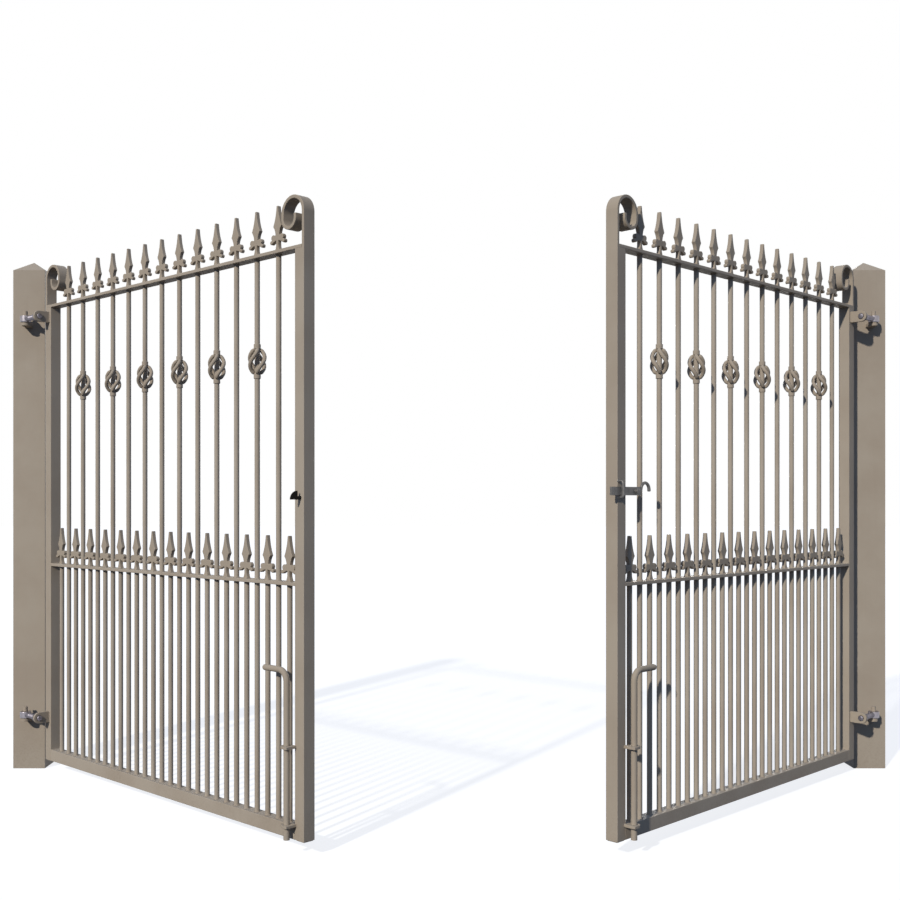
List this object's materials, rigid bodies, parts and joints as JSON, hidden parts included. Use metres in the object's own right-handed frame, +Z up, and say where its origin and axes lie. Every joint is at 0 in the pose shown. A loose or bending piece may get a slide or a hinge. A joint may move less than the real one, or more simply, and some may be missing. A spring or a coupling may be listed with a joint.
{
  "type": "metal driveway gate",
  "caption": "Pair of painted metal driveway gate leaves on square posts, with spear finials, twisted baskets, pintle hinges, drop bolts and a lift latch.",
  "frame": {"origin": "centre of the left post's bottom face, at ground level", "axes": "+X across the gateway to the right post, +Y away from the side that the leaves open to, +Z up"},
  "size_m": [3.288, 1.2825, 1.918],
  "materials": {
    "paint": "satin taupe powder coat",
    "zinc": "bright zinc plate",
    "keep_black": "satin black"
  },
  "bodies": {
    "gateway": {"left_post": "paint", "right_post": "paint", "left_post_cap": "paint", "right_post_cap": "paint", "left_pintles": "paint", "right_pintles": "paint"},
    "left_leaf": {"left_hanging_stile": "paint", "left_meeting_stile": "paint", "left_bottom_rail": "paint", "left_mid_rail": "paint", "left_top_rail": "paint", "left_main_bars": "paint", "left_dog_bars": "paint", "left_basket_collars": "paint", "left_basket_wires": "paint", "left_top_finials": "paint", "left_dog_finials": "paint", "left_scrolls": "paint", "left_hinge_lugs": "paint", "left_eye_bolts": "zinc", "left_lock_nuts": "zinc", "left_bolt_guides": "paint", "latch_keep": "keep_black"},
    "right_leaf": {"right_hanging_stile": "paint", "right_meeting_stile": "paint", "right_bottom_rail": "paint", "right_mid_rail": "paint", "right_top_rail": "paint", "right_main_bars": "paint", "right_dog_bars": "paint", "right_basket_collars": "paint", "right_basket_wires": "paint", "right_top_finials": "paint", "right_dog_finials": "paint", "right_scrolls": "paint", "right_hinge_lugs": "paint", "right_eye_bolts": "zinc", "right_lock_nuts": "zinc", "right_bolt_guides": "paint", "latch_staple": "zinc", "latch_pivot": "zinc"},
    "left_drop_bolt": {"left_drop_bolt": "paint"},
    "right_drop_bolt": {"right_drop_bolt": "paint"},
    "latch": {"latch_bar": "zinc"}
  },
  "joints": [
    {"name": "left_leaf_swing", "type": "hinge", "parent": "gateway", "child": "left_leaf", "pos_m": [0, -0.1, 0], "axis": [0, 0, -1], "range_deg": [-45, 45]},
    {"name": "right_leaf_swing", "type": "hinge", "parent": "gateway", "child": "right_leaf", "pos_m": [3.168, -0.1, 0], "axis": [0, 0, 1], "range_deg": [-45, 45]},
    {"name": "left_bolt_slide", "type": "slide", "parent": "left_leaf", "child": "left_drop_bolt", "axis": [0, 0, 1], "range_m": [-0.11, 0.02]},
    {"name": "right_bolt_slide", "type": "slide", "parent": "right_leaf", "child": "right_drop_bolt", "axis": [0, 0, 1], "range_m": [-0.11, 0.02]},
    {"name": "latch_lift", "type": "hinge", "parent": "right_leaf", "child": "latch", "pos_m": [2.0833, -1.13662, 1.037], "axis": [-0.7071, 0.7071, 0], "range_deg": [0, 9]}
  ]
}
